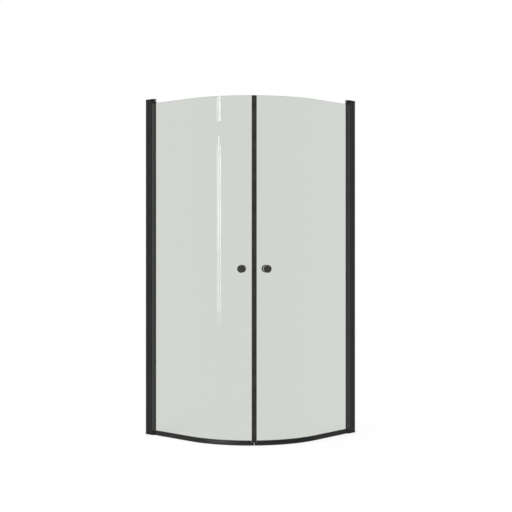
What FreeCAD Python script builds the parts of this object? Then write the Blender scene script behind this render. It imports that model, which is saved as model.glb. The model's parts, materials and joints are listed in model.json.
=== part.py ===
"""Corner shower doors: two curved glass doors that meet on the diagonal of a square shower.

Each door hangs on a round pivot tube beside a telescopic wall profile, and swings outwards.
The script builds the left half, seen from outside, and mirrors it about the diagonal.

Plan frame while building, in millimetres: the two walls are the planes x = 0 and y = 0, and the
shower lies at x > 0, y < 0. On the left half, "depth" is the distance from the wall x = 0 and
"out" is the offset from the middle of the glass, away from the shower. The finished solids are
moved so that the origin is the middle of the square plan, at floor level.
"""
import FreeCAD
import Part
import math
import os

Vec = FreeCAD.Vector
UP = Vec(0, 0, 1)

# Overall sizes
OVERALL_WIDTH = 892.0        # wall to outermost face, along either wall
OVERALL_HEIGHT = 2000.0      # floor to the top of the end caps
SEAM_ANGLE = math.pi / 4     # turn of each door's curve, which ends on the diagonal

# Clearances
FIT_GAP = 0.05               # pins in bores, gaskets on glass
LOOSE_GAP = 0.3              # sliding profiles and neighbouring ends
OVERRUN = 5.0                # how far a cutting shape runs past what it cuts

# Glass door
GLASS_INNER_RADIUS = 500.0
GLASS_THICKNESS = 6.0
GLASS_TOP_DROP = 24.0        # top edge of the glass below the top of the caps
GLASS_ARRIS = 0.8            # ground edge on the top of the glass
GASKET_WALL = 1.0            # soft lining between glass and metal

# End caps of the wall profile
CAP_OVERHANG = 1.5           # plate past the sides of the wall channel
CAP_PLATE = 6.0
CAP_ROUND = 1.2              # rounded rim of the plate
CAP_NECK_WALL = 4.0          # top cap's neck round its pin; the bottom neck is as wide as the collars
CAP_NECK_HEIGHT = 6.0        # spaces the pivot tube off the plate
CAP_TONGUE_DEPTH = 5.0       # locating tongue inside the adjusting profile

# Wall channel, screwed to the wall
CHANNEL_WIDTH = 30.0
CHANNEL_DEPTH = 24.0
CHANNEL_WALL = 1.5
CHANNEL_EDGE_ROUND = 0.6
WALL_HOLE_RADIUS = 3.0
WALL_HOLE_END_MARGIN = 150.0     # floor or top to the nearest wall hole
WALL_HOLE_INNER_SPACING_SHARE = 0.36   # inner pair's spacing as a share of the outer pair's

# Adjusting profile, slides in the wall channel and cradles the pivot tube
ADJUSTER_BACK_DEPTH = 8.0
ADJUSTER_WALL = 1.6
ADJUSTER_SEAT_WALL = 2.2
ADJUSTER_EDGE_ROUND = 0.5
SEAT_GAP = 0.6               # seat to the collars on the pivot tube
PORT_RADIUS = 3.4            # screw ports for the cap screws
PORT_SETBACK = 7.7           # seat wall to the ports
PORT_SINK = 0.6              # how far a port is sunk in its side wall
HINGE_SEAL_WIDTH = 3.0
HINGE_SEAL_GROOVE = 1.2

# Fasteners
CAP_SCREW_RADIUS = 1.65
CAP_SCREW_HEAD_RADIUS = 3.3
CAP_SCREW_LENGTH = 19.0
FIXING_SCREW_RADIUS = 2.0
FIXING_SCREW_LENGTH = 10.0
FIXING_HEAD_RADIUS = 4.0
FIXING_HEAD_HEIGHT = 2.4
FIXING_EDGE_DISTANCE = 5.0   # back of the adjusting profile to the fixing screws
FIXING_HEIGHT_SHARES = (0.12, 0.5, 0.88)   # of the profile's length
COVER_WALL = 1.0
COVER_ROUND = 0.8

# Pivot
PIVOT_DEPTH = 53.0           # wall to the pivot axis
PIN_RADIUS = 5.0
PIN_SEAT_SKIN = 1.5          # cap material left behind a pin
PIN_REACH = 40.0             # pin length past the neck
THRUST_WASHER_WALL = 3.0
THRUST_WASHER_HEIGHT = 1.0
THRUST_GAP = 0.1
LIFT_PLAY = 0.5              # neck to bush at the top
BUSH_FLANGE = 2.4
BUSH_JAW_INSET = 0.4         # flange inside the jaw's outline
BUSH_DEPTH = 44.0
COLLAR_WALL = 1.5            # bush flange past the tube, and its skirt round the tube's end
COLLAR_SKIRT = 12.0

# Pivot tube with its glass jaw
TUBE_RADIUS = 13.0
TUBE_WALL = 1.8
JAW_LENGTH = 5.0             # face of the tube to the mouth of the jaw
JAW_WALL = 2.0
JAW_FLOOR_DEPTH = 9.0        # pivot axis to the floor of the jaw
JAW_FLOOR_WALL = 1.6
JAW_EDGE_ROUND = 0.6
GASKET_LIP_REACH = 1.2       # lip outside the jaw's mouth
GASKET_LIP_WIDTH = 1.2       # how far the lip laps the jaw's end

# Bottom rail and its seal
RAIL_HEIGHT = 20.0
RAIL_UNDERSIDE = 8.0
RAIL_WEB = 8.0
RAIL_WALL = 2.0
RAIL_EDGE_ROUND = 0.8
RAIL_GROOVE_WIDTH = 5.0
RAIL_GROOVE_DEPTH = 4.0
RAIL_LINE_DROP = 10.0        # top of the rail to the shadow line along its faces
RAIL_LINE_WIDTH = 1.6
RAIL_LINE_DEPTH = 0.8
SEAL_FLANGE = 2.0
SEAL_FLANGE_INSET = 0.5
SEAL_LIP_WALL = 2.4
SEAL_LIP_BOTTOM = 0.3

# End of the rail at the seam
RAIL_END_SETBACK = 1.0       # end of the rail behind the edge seal
END_CAP_GAP = 1.2            # seam to the end cap's face
END_CAP_BOTTOM = 1.0
END_CAP_ROUND = 0.8
TONGUE_LENGTH = 12.0

# Magnetic edge seal on the free edge of the glass
EDGE_SEAL_GAP = 0.25         # seam to the seal's face
EDGE_SEAL_RISE = 8.0         # underside of the rail to the foot of the seal
EDGE_HEAD_WIDTH = 6.0        # seam to the root of the grip
EDGE_HEAD_OVERLAP = 2.5      # head past each face of the glass
EDGE_HEAD_WALL = 1.2
EDGE_GRIP_WALL = 1.5
EDGE_GRIP_LENGTH = 8.0
EDGE_GLASS_GAP = 0.5         # root of the grip to the free edge of the glass
MAGNET_END_INSET = 1.0

# Knobs
KNOB_HEIGHT = 997.0          # floor to the knob's axis
KNOB_SEAM_DISTANCE = 70.5    # seam to the knob's axis, along the glass
KNOB_RADIUS = 22.0
KNOB_BASE_RADIUS = 17.0
KNOB_LENGTH = 33.0
KNOB_RIM = 9.0               # straight rim at the front
KNOB_BEVEL = 1.5
KNOB_BORE_DEPTH = 16.0
STUD_RADIUS = 3.0
WASHER_RADIUS = 20.0
WASHER_THICKNESS = 1.0
GLASS_HOLE_RADIUS = 6.0

# Places that follow from the sizes above
CHANNEL_HALF = CHANNEL_WIDTH / 2
CAP_HALF = CHANNEL_HALF + CAP_OVERHANG
GLASS_HALF = GLASS_THICKNESS / 2
GLASS_PLANE = OVERALL_WIDTH - CAP_HALF            # wall y = 0 to the middle of the straight glass
GLASS_RADIUS = GLASS_INNER_RADIUS + GLASS_HALF    # middle of the curved glass
ARC_CENTRE = GLASS_PLANE - GLASS_RADIUS           # either wall to the axis of the curve
GLASS_TOP = OVERALL_HEIGHT - GLASS_TOP_DROP
GLASS_BOTTOM = RAIL_UNDERSIDE + RAIL_WEB + GASKET_WALL
PROFILE_BOTTOM = CAP_PLATE
PROFILE_TOP = OVERALL_HEIGHT - CAP_PLATE
PROFILE_LENGTH = PROFILE_TOP - PROFILE_BOTTOM
COLLAR_RADIUS = TUBE_RADIUS + COLLAR_WALL
ADJUSTER_HALF = CHANNEL_HALF - CHANNEL_WALL - LOOSE_GAP
SEAT_RADIUS = COLLAR_RADIUS + SEAT_GAP
PORT_DEPTH = PIVOT_DEPTH - SEAT_RADIUS - ADJUSTER_SEAT_WALL - PORT_SETBACK
PORT_OUT = ADJUSTER_HALF - ADJUSTER_WALL - PORT_RADIUS + PORT_SINK
FIXING_DEPTH = ADJUSTER_BACK_DEPTH + FIXING_EDGE_DISTANCE
SLOT_HALF = GLASS_HALF + GASKET_WALL              # lined slot that takes the glass
JAW_HALF = SLOT_HALF + JAW_WALL
JAW_END_DEPTH = PIVOT_DEPTH + TUBE_RADIUS + JAW_LENGTH
GLASS_EDGE_DEPTH = PIVOT_DEPTH + JAW_FLOOR_DEPTH + GASKET_WALL
RAIL_HALF = SLOT_HALF + RAIL_WALL
RAIL_START_DEPTH = JAW_END_DEPTH + GASKET_LIP_REACH + LOOSE_GAP
RAIL_TOP = RAIL_UNDERSIDE + RAIL_HEIGHT
RAIL_WEB_TOP = RAIL_UNDERSIDE + RAIL_WEB
EDGE_SEAL_WIDTH = EDGE_HEAD_WIDTH + EDGE_GRIP_LENGTH   # seam to the end of the grip
EDGE_SEAL_BOTTOM = RAIL_UNDERSIDE + EDGE_SEAL_RISE
EDGE_HEAD_HALF = GLASS_HALF + EDGE_HEAD_OVERLAP
GLASS_SEAM_GAP = EDGE_HEAD_WIDTH + EDGE_GLASS_GAP
RAIL_END_GAP = EDGE_SEAL_WIDTH + RAIL_END_SETBACK      # seam to the end of the rail
NECK_TOP = CAP_PLATE + CAP_NECK_HEIGHT            # bottom cap's neck, counted from the floor
TUBE_BOTTOM = NECK_TOP + THRUST_WASHER_HEIGHT + THRUST_GAP + BUSH_FLANGE
TUBE_TOP = OVERALL_HEIGHT - NECK_TOP - LIFT_PLAY - BUSH_FLANGE
KNOB_ANGLE = SEAM_ANGLE - KNOB_SEAM_DISTANCE / GLASS_RADIUS
WALL_HOLE_OUTER_SPACING = OVERALL_HEIGHT - 2 * WALL_HOLE_END_MARGIN
WALL_HOLE_INNER_SPACING = WALL_HOLE_OUTER_SPACING * WALL_HOLE_INNER_SPACING_SHARE


# Shapes in the left half's terms

def block(depth_from, depth_to, out_from, out_to, z_from, z_to):
    """Box between two depths, two out offsets and two heights."""
    corner = Vec(depth_from, -GLASS_PLANE - out_to, z_from)
    return Part.makeBox(depth_to - depth_from, out_to - out_from, z_to - z_from, corner)


def post(depth, out, radius, z_from, z_to):
    """Upright cylinder."""
    return Part.makeCylinder(radius, z_to - z_from, Vec(depth, -GLASS_PLANE - out, z_from), UP)


def pivot_post(radius, z_from, z_to):
    """Upright cylinder on the pivot axis."""
    return post(PIVOT_DEPTH, 0, radius, z_from, z_to)


def curve_point(out, angle, z):
    """Point on the curved part, at an angle from where the curve starts."""
    radius = GLASS_RADIUS + out
    return Vec(ARC_CENTRE + radius * math.sin(angle), -ARC_CENTRE - radius * math.cos(angle), z)


def seam_angle(gap):
    """Angle of the curve at a distance before the seam, measured along the glass."""
    return SEAM_ANGLE - gap / GLASS_RADIUS


def arc_edge(out, angle_from, angle_to, z):
    middle = (angle_from + angle_to) / 2
    points = [curve_point(out, angle, z) for angle in (angle_from, middle, angle_to)]
    return Part.Arc(*points).toShape()


def band(start_depth, end_gap, out_from, out_to, z_from, z_to):
    """Solid that follows the door: straight from a depth, then curved up to a gap before the seam."""
    end = seam_angle(end_gap)
    start_in = Vec(start_depth, -GLASS_PLANE - out_from, z_from)
    start_out = Vec(start_depth, -GLASS_PLANE - out_to, z_from)
    edges = [
        Part.makeLine(start_in, curve_point(out_from, 0, z_from)),
        arc_edge(out_from, 0, end, z_from),
        Part.makeLine(curve_point(out_from, end, z_from), curve_point(out_to, end, z_from)),
        arc_edge(out_to, end, 0, z_from),
        Part.makeLine(curve_point(out_to, 0, z_from), start_out),
        Part.makeLine(start_out, start_in),
    ]
    return Part.Face(Part.Wire(edges)).extrude(UP * (z_to - z_from))


def seam_sector(gap_from, gap_to, out_from, out_to, z_from, z_to):
    """Curved block near the seam, between two distances before it."""
    near, far = seam_angle(gap_from), seam_angle(gap_to)
    edges = [
        arc_edge(out_from, far, near, z_from),
        Part.makeLine(curve_point(out_from, near, z_from), curve_point(out_to, near, z_from)),
        arc_edge(out_to, near, far, z_from),
        Part.makeLine(curve_point(out_to, far, z_from), curve_point(out_from, far, z_from)),
    ]
    return Part.Face(Part.Wire(edges)).extrude(UP * (z_to - z_from))


def knob_turned(points, out_sign):
    """Solid turned about the knob's axis. Points are (radius, height off the middle of the glass)."""
    corners = [Vec(radius, 0, height) for radius, height in points]
    outline = Part.makePolygon(corners + corners[:1])
    solid = Part.Face(outline).revolve(Vec(0, 0, 0), UP, 360)
    axis = (curve_point(0, KNOB_ANGLE, 0) - curve_point(-GLASS_RADIUS, KNOB_ANGLE, 0)).normalize()
    solid.Placement = FreeCAD.Placement(
        curve_point(0, KNOB_ANGLE, KNOB_HEIGHT), FreeCAD.Rotation(UP, axis * out_sign))
    return solid


def rounded(shape, radius, wanted):
    """Fillets the edges for which wanted(edge) is true."""
    return shape.makeFillet(radius, [edge for edge in shape.Edges if wanted(edge)])


def is_upright(edge):
    box = edge.BoundBox
    return box.ZLength > max(box.XLength, box.YLength)


def at_depth(edge, depth):
    return math.isclose(edge.BoundBox.Center.x, depth, abs_tol=FIT_GAP)


def lies_at(edge, z):
    """True for an edge that lies flat at a height."""
    return math.isclose(edge.BoundBox.ZMin, z, abs_tol=FIT_GAP) and not is_upright(edge)


def out_side(edge, half):
    """True for an upright edge on either face of a profile, half its width from the glass plane."""
    out = abs(edge.BoundBox.Center.y + GLASS_PLANE)
    return math.isclose(out, half, abs_tol=FIT_GAP)


# Fixed half: wall profile, caps and pivots

def wall_hole_heights():
    middle = OVERALL_HEIGHT / 2
    spacings = (WALL_HOLE_OUTER_SPACING, WALL_HOLE_INNER_SPACING)
    return [middle + side * spacing / 2 for spacing in spacings for side in (-1, 1)]


def fixing_heights():
    return [PROFILE_BOTTOM + share * PROFILE_LENGTH for share in FIXING_HEIGHT_SHARES]


def across(out_from, out_to, radius, height):
    """Level cylinder through the profile's sides, on a fixing screw's axis."""
    start = Vec(FIXING_DEPTH, -GLASS_PLANE - out_from, height)
    return Part.makeCylinder(radius, out_to - out_from, start, Vec(0, -1, 0))


def fixing_holes():
    """Clearance for the fixing screws through the inner side of the two profiles."""
    return [across(-CHANNEL_WIDTH, 0, FIXING_SCREW_RADIUS + FIT_GAP, z) for z in fixing_heights()]


def wall_channel():
    body = block(0, CHANNEL_DEPTH, -CHANNEL_HALF, CHANNEL_HALF, PROFILE_BOTTOM, PROFILE_TOP)
    body = rounded(body, CHANNEL_EDGE_ROUND, lambda e: is_upright(e) and at_depth(e, CHANNEL_DEPTH))
    inner_half = CHANNEL_HALF - CHANNEL_WALL
    hollow = block(CHANNEL_WALL, CHANNEL_DEPTH + OVERRUN, -inner_half, inner_half,
                   PROFILE_BOTTOM - OVERRUN, PROFILE_TOP + OVERRUN)
    holes = [
        Part.makeCylinder(WALL_HOLE_RADIUS, CHANNEL_WALL + OVERRUN, Vec(0, -GLASS_PLANE, z), Vec(1, 0, 0))
        for z in wall_hole_heights()
    ]
    return body.cut([hollow] + holes + fixing_holes())


def adjusting_profile():
    low, high = PROFILE_BOTTOM, PROFILE_TOP
    cut_low, cut_high = low - OVERRUN, high + OVERRUN
    inner_half = ADJUSTER_HALF - ADJUSTER_WALL
    body = block(ADJUSTER_BACK_DEPTH, PIVOT_DEPTH, -ADJUSTER_HALF, ADJUSTER_HALF, low, high)
    hollow = block(ADJUSTER_BACK_DEPTH - OVERRUN, PIVOT_DEPTH, -inner_half, inner_half, cut_low, cut_high)
    hollow = hollow.cut(pivot_post(SEAT_RADIUS + ADJUSTER_SEAT_WALL, cut_low, cut_high))
    body = body.cut([hollow, pivot_post(SEAT_RADIUS, cut_low, cut_high)])
    body = rounded(body, ADJUSTER_EDGE_ROUND,
                   lambda e: is_upright(e) and out_side(e, ADJUSTER_HALF) and e.BoundBox.XMin > CHANNEL_DEPTH)
    ports = [post(PORT_DEPTH, side * PORT_OUT, PORT_RADIUS, low, high) for side in (-1, 1)]
    port_holes = [
        post(PORT_DEPTH, side * PORT_OUT, CAP_SCREW_RADIUS + FIT_GAP, cut_low, cut_high) for side in (-1, 1)
    ]
    groove_depth = PIVOT_DEPTH - SEAT_RADIUS - HINGE_SEAL_GROOVE
    groove = block(groove_depth, PIVOT_DEPTH, -HINGE_SEAL_WIDTH / 2, HINGE_SEAL_WIDTH / 2, cut_low, cut_high)
    return body.fuse(ports).cut(port_holes + [groove] + fixing_holes()).removeSplitter()


def hinge_seal():
    back = PIVOT_DEPTH - SEAT_RADIUS - HINGE_SEAL_GROOVE
    front = PIVOT_DEPTH - TUBE_RADIUS - LOOSE_GAP
    half = HINGE_SEAL_WIDTH / 2 - FIT_GAP
    collar = COLLAR_SKIRT + LOOSE_GAP
    return block(back, front, -half, half, TUBE_BOTTOM + collar, TUBE_TOP - collar)


def end_cap(neck_radius):
    """Cap on the foot of the profile, with a neck that carries the pivot."""
    plate = block(0, PIVOT_DEPTH, -CAP_HALF, CAP_HALF, 0, CAP_PLATE)
    plate = plate.fuse(pivot_post(CAP_HALF, 0, CAP_PLATE)).removeSplitter()
    plate = rounded(plate, CAP_ROUND, lambda e: lies_at(e, 0) and e.BoundBox.XMax > CAP_ROUND)
    tongue_half = ADJUSTER_HALF - ADJUSTER_WALL - LOOSE_GAP
    tongue_back = ADJUSTER_BACK_DEPTH + LOOSE_GAP
    tongue_front = PORT_DEPTH - PORT_RADIUS - LOOSE_GAP
    tongue = block(tongue_back, tongue_front, -tongue_half, tongue_half,
                   CAP_PLATE, CAP_PLATE + CAP_TONGUE_DEPTH)
    cap = plate.fuse([pivot_post(neck_radius, CAP_PLATE, NECK_TOP), tongue])
    pin_seat = pivot_post(PIN_RADIUS + FIT_GAP, PIN_SEAT_SKIN, NECK_TOP + OVERRUN)
    screws = [cap_screw(side, FIT_GAP) for side in (-1, 1)]
    return cap.cut([pin_seat] + screws).removeSplitter()


def cap_screw(side, gap):
    """Countersunk screw that holds the bottom cap, or its hole where a gap is given."""
    shank = CAP_SCREW_RADIUS + gap
    head = CAP_SCREW_HEAD_RADIUS + gap
    taper = head - shank
    place = Vec(PORT_DEPTH, -GLASS_PLANE - side * PORT_OUT, 0)
    cone = Part.makeCone(head, shank, taper, place, UP)
    return cone.fuse(Part.makeCylinder(shank, CAP_SCREW_LENGTH, place, UP)).removeSplitter()


def bottom_cap():
    return end_cap(COLLAR_RADIUS)


def top_cap():
    return turned_over(end_cap(PIN_RADIUS + CAP_NECK_WALL))


def bottom_pivot_pin():
    return pivot_post(PIN_RADIUS, PIN_SEAT_SKIN, NECK_TOP + PIN_REACH)


def turned_over(shape):
    """The same piece at the top of the profile."""
    return shape.mirror(Vec(0, 0, OVERALL_HEIGHT / 2), UP)


def thrust_washer():
    washer = pivot_post(PIN_RADIUS + THRUST_WASHER_WALL, NECK_TOP, NECK_TOP + THRUST_WASHER_HEIGHT)
    return washer.cut(pivot_post(PIN_RADIUS + FIT_GAP, NECK_TOP - OVERRUN, NECK_TOP + OVERRUN))


def cap_screws():
    bottom = [cap_screw(side, 0) for side in (-1, 1)]
    return Part.makeCompound(bottom + [turned_over(screw) for screw in bottom])


def fixing_screws():
    screws = []
    for z in fixing_heights():
        head = across(-CHANNEL_HALF - FIXING_HEAD_HEIGHT, -CHANNEL_HALF, FIXING_HEAD_RADIUS, z)
        shank = across(-CHANNEL_HALF, -CHANNEL_HALF + FIXING_SCREW_LENGTH, FIXING_SCREW_RADIUS, z)
        screws.append(head.fuse(shank).removeSplitter())
    return Part.makeCompound(screws)


def screw_covers():
    covers = []
    for z in fixing_heights():
        inner_top = -CHANNEL_HALF - FIXING_HEAD_HEIGHT - FIT_GAP
        shell = across(inner_top - COVER_WALL, -CHANNEL_HALF, FIXING_HEAD_RADIUS + FIT_GAP + COVER_WALL, z)
        rim = -GLASS_PLANE - inner_top + COVER_WALL
        shell = rounded(shell, COVER_ROUND, lambda e: math.isclose(e.BoundBox.YMin, rim, abs_tol=FIT_GAP))
        covers.append(shell.cut(across(inner_top, OVERRUN, FIXING_HEAD_RADIUS + FIT_GAP, z)))
    return Part.makeCompound(covers)


# Swinging half: pivot tube, glass, rail, seals and knobs

def jaw_block(inset, z_from, z_to):
    """Outline of the jaw, from the pivot axis to its mouth."""
    half = JAW_HALF - inset
    return block(PIVOT_DEPTH, JAW_END_DEPTH - inset, -half, half, z_from, z_to)


def tube_hollow(inset, z_from, z_to):
    """Space inside the round tube, clear of the jaw's floor and walls."""
    floor_depth = PIVOT_DEPTH + JAW_FLOOR_DEPTH - JAW_FLOOR_WALL - inset
    jaw = block(floor_depth, JAW_END_DEPTH, -JAW_HALF - inset, JAW_HALF + inset, z_from, z_to)
    return pivot_post(TUBE_RADIUS - TUBE_WALL - inset, z_from, z_to).cut(jaw)


def pivot_tube():
    cut_low, cut_high = TUBE_BOTTOM - OVERRUN, TUBE_TOP + OVERRUN
    body = pivot_post(TUBE_RADIUS, TUBE_BOTTOM, TUBE_TOP).fuse(jaw_block(0, TUBE_BOTTOM, TUBE_TOP))
    body = body.removeSplitter()
    body = rounded(body, JAW_EDGE_ROUND, lambda e: is_upright(e) and at_depth(e, JAW_END_DEPTH))
    slot = block(PIVOT_DEPTH + JAW_FLOOR_DEPTH, JAW_END_DEPTH + OVERRUN, -SLOT_HALF, SLOT_HALF,
                 cut_low, cut_high)
    return body.cut([tube_hollow(0, cut_low, cut_high), slot])


def bottom_bush():
    """Bush with the pin's bore: a flange under the tube's end, a skirt round it and a plug inside."""
    flange_bottom = TUBE_BOTTOM - BUSH_FLANGE
    skirt_top = TUBE_BOTTOM + COLLAR_SKIRT
    plug_top = TUBE_BOTTOM + BUSH_DEPTH
    flange = pivot_post(COLLAR_RADIUS, flange_bottom, TUBE_BOTTOM)
    flange = flange.fuse(jaw_block(BUSH_JAW_INSET, flange_bottom, TUBE_BOTTOM))
    skirt = pivot_post(COLLAR_RADIUS, TUBE_BOTTOM, skirt_top)
    skirt = skirt.cut([pivot_post(TUBE_RADIUS + FIT_GAP, TUBE_BOTTOM - OVERRUN, skirt_top + OVERRUN),
                       jaw_block(-FIT_GAP, TUBE_BOTTOM - OVERRUN, skirt_top + OVERRUN)])
    bore = pivot_post(PIN_RADIUS + FIT_GAP, flange_bottom - OVERRUN, plug_top + OVERRUN)
    return flange.fuse([skirt, tube_hollow(FIT_GAP, TUBE_BOTTOM, plug_top)]).cut(bore).removeSplitter()


def top_bush():
    """The same bush turned over, on the top end of the tube."""
    return bottom_bush().mirror(Vec(0, 0, (TUBE_BOTTOM + TUBE_TOP) / 2), UP)


def glazing_gasket():
    low, high = TUBE_BOTTOM, TUBE_TOP
    floor_depth = PIVOT_DEPTH + JAW_FLOOR_DEPTH
    lip_end = JAW_END_DEPTH + GASKET_LIP_REACH
    lip_half = SLOT_HALF + GASKET_LIP_WIDTH
    lining = block(floor_depth, JAW_END_DEPTH, -SLOT_HALF, SLOT_HALF, low, high)
    lips = block(JAW_END_DEPTH, lip_end, -lip_half, lip_half, low, high)
    gap = block(GLASS_EDGE_DEPTH, lip_end + OVERRUN, -GLASS_HALF, GLASS_HALF, low - OVERRUN, high + OVERRUN)
    return lining.fuse(lips).cut(gap).removeSplitter()


def glass():
    panel = band(GLASS_EDGE_DEPTH, GLASS_SEAM_GAP, -GLASS_HALF, GLASS_HALF, GLASS_BOTTOM, GLASS_TOP)
    top_edges = [edge for edge in panel.Edges if lies_at(edge, GLASS_TOP)]
    panel = panel.makeChamfer(GLASS_ARRIS, [e for e in top_edges if e.Length > 2 * GLASS_THICKNESS])
    hole = [(0, -GLASS_THICKNESS), (GLASS_HOLE_RADIUS, -GLASS_THICKNESS),
            (GLASS_HOLE_RADIUS, GLASS_THICKNESS), (0, GLASS_THICKNESS)]
    return panel.cut(knob_turned(hole, 1))


def bottom_rail():
    body = band(RAIL_START_DEPTH, RAIL_END_GAP, -RAIL_HALF, RAIL_HALF, RAIL_UNDERSIDE, RAIL_TOP)
    body = rounded(body, RAIL_EDGE_ROUND, lambda e: lies_at(e, RAIL_TOP) and e.Length > 3 * RAIL_HALF)
    start = RAIL_START_DEPTH - OVERRUN
    slot = band(start, 0, -SLOT_HALF, SLOT_HALF, RAIL_WEB_TOP, RAIL_TOP + OVERRUN)
    groove_half = RAIL_GROOVE_WIDTH / 2
    groove = band(start, 0, -groove_half, groove_half, RAIL_UNDERSIDE - OVERRUN,
                  RAIL_UNDERSIDE + RAIL_GROOVE_DEPTH)
    line_in, line_out = RAIL_HALF - RAIL_LINE_DEPTH, RAIL_HALF + OVERRUN
    line_high = RAIL_TOP - RAIL_LINE_DROP + RAIL_LINE_WIDTH / 2
    line_low = line_high - RAIL_LINE_WIDTH
    lines = [
        band(start, 0, out_from, out_to, line_low, line_high)
        for out_from, out_to in ((line_in, line_out), (-line_out, -line_in))
    ]
    return body.cut([slot, groove] + lines)


def rail_gasket():
    half = SLOT_HALF - FIT_GAP
    lining = band(RAIL_START_DEPTH, RAIL_END_GAP, -half, half, RAIL_WEB_TOP, RAIL_TOP)
    inner = GLASS_HALF + FIT_GAP
    gap = band(RAIL_START_DEPTH - OVERRUN, 0, -inner, inner, GLASS_BOTTOM, RAIL_TOP + OVERRUN)
    return lining.cut(gap)


def bottom_seal():
    head_half = RAIL_GROOVE_WIDTH / 2 - FIT_GAP
    flange_half = RAIL_HALF - SEAL_FLANGE_INSET
    flange_bottom = RAIL_UNDERSIDE - SEAL_FLANGE
    head_end_gap = RAIL_END_GAP + TONGUE_LENGTH + LOOSE_GAP
    flange = band(RAIL_START_DEPTH, RAIL_END_GAP, -flange_half, flange_half, flange_bottom, RAIL_UNDERSIDE)
    head = band(RAIL_START_DEPTH, head_end_gap, -head_half, head_half,
                RAIL_UNDERSIDE, RAIL_UNDERSIDE + RAIL_GROOVE_DEPTH - FIT_GAP)
    between_lips = flange_half - SEAL_LIP_WALL
    lips = band(RAIL_START_DEPTH, RAIL_END_GAP, -flange_half, flange_half, SEAL_LIP_BOTTOM, flange_bottom)
    lips = lips.cut(band(RAIL_START_DEPTH - OVERRUN, 0, -between_lips, between_lips,
                         SEAL_LIP_BOTTOM - OVERRUN, flange_bottom))
    return flange.fuse([head, lips]).removeSplitter()


def rail_end_cap():
    """Closes the rail under the edge seal, with a slot where it reaches up past the foot of the glass."""
    top = EDGE_SEAL_BOTTOM - LOOSE_GAP
    body = seam_sector(END_CAP_GAP, RAIL_END_GAP, -RAIL_HALF, RAIL_HALF, END_CAP_BOTTOM, top)
    face_middle = curve_point(0, seam_angle(END_CAP_GAP), (END_CAP_BOTTOM + top) / 2)
    body = rounded(body, END_CAP_ROUND, lambda e: is_upright(e) and
                   e.BoundBox.Center.distanceToPoint(face_middle) < RAIL_HALF + FIT_GAP)
    slot_half = GLASS_HALF + LOOSE_GAP
    slot = seam_sector(GLASS_SEAM_GAP - LOOSE_GAP, RAIL_END_GAP + OVERRUN, -slot_half, slot_half,
                       GLASS_BOTTOM - LOOSE_GAP, top + OVERRUN)
    tongue_half = RAIL_GROOVE_WIDTH / 2 - FIT_GAP
    tongue = seam_sector(RAIL_END_GAP, RAIL_END_GAP + TONGUE_LENGTH, -tongue_half, tongue_half,
                         RAIL_UNDERSIDE, RAIL_UNDERSIDE + RAIL_GROOVE_DEPTH - FIT_GAP)
    return body.cut(slot).fuse(tongue).removeSplitter()


def magnet_pocket(gap, z_from, z_to):
    """Space for the magnet inside the seal's head, smaller by a gap for the magnet itself."""
    near = EDGE_SEAL_GAP + EDGE_HEAD_WALL + gap
    far = EDGE_HEAD_WIDTH - EDGE_HEAD_WALL - gap
    half = EDGE_HEAD_HALF - EDGE_HEAD_WALL - gap
    return seam_sector(near, far, -half, half, z_from, z_to)


def edge_seal():
    grip_inner = GLASS_HALF + FIT_GAP
    grip_outer = grip_inner + EDGE_GRIP_WALL
    low, high = EDGE_SEAL_BOTTOM, GLASS_TOP
    head = seam_sector(EDGE_SEAL_GAP, EDGE_HEAD_WIDTH, -EDGE_HEAD_HALF, EDGE_HEAD_HALF, low, high)
    grips = [
        seam_sector(EDGE_HEAD_WIDTH, EDGE_SEAL_WIDTH, out_from, out_to, low, high)
        for out_from, out_to in ((grip_inner, grip_outer), (-grip_outer, -grip_inner))
    ]
    return head.fuse(grips).cut(magnet_pocket(0, low - OVERRUN, high + OVERRUN)).removeSplitter()


def magnet_strip():
    return magnet_pocket(FIT_GAP, EDGE_SEAL_BOTTOM + MAGNET_END_INSET, GLASS_TOP - MAGNET_END_INSET)


def glass_sag(radius):
    """How far the curved glass falls away from a flat face of that radius, plus a fitting gap."""
    return radius ** 2 / (2 * GLASS_INNER_RADIUS) + FIT_GAP


def washer_seat(out_sign):
    """Middle of the glass to the near face of a washer."""
    return GLASS_HALF + (FIT_GAP if out_sign > 0 else glass_sag(WASHER_RADIUS))


def knob(out_sign):
    base = washer_seat(out_sign) + WASHER_THICKNESS + FIT_GAP
    front = base + KNOB_LENGTH
    bore = STUD_RADIUS + FIT_GAP
    outline = [
        (bore, base), (KNOB_BASE_RADIUS, base), (KNOB_RADIUS, front - KNOB_RIM),
        (KNOB_RADIUS, front - KNOB_BEVEL), (KNOB_RADIUS - KNOB_BEVEL, front),
        (0, front), (0, base + KNOB_BORE_DEPTH), (bore, base + KNOB_BORE_DEPTH),
    ]
    return knob_turned(outline, out_sign)


def knob_stud():
    ends = [washer_seat(sign) + WASHER_THICKNESS + KNOB_BORE_DEPTH for sign in (-1, 1)]
    outline = [(0, -ends[0]), (STUD_RADIUS, -ends[0]), (STUD_RADIUS, ends[1]), (0, ends[1])]
    return knob_turned(outline, 1)


def knob_washers():
    bore = STUD_RADIUS + FIT_GAP
    washers = []
    for sign in (1, -1):
        near = washer_seat(sign)
        far = near + WASHER_THICKNESS
        outline = [(bore, near), (WASHER_RADIUS, near), (WASHER_RADIUS, far), (bore, far)]
        washers.append(knob_turned(outline, sign))
    return Part.makeCompound(washers)


def knob_sleeve():
    outer = GLASS_HOLE_RADIUS - FIT_GAP
    inner = STUD_RADIUS + FIT_GAP
    half = GLASS_HALF - FIT_GAP
    return knob_turned([(inner, -half), (outer, -half), (outer, half), (inner, half)], 1)


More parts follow.
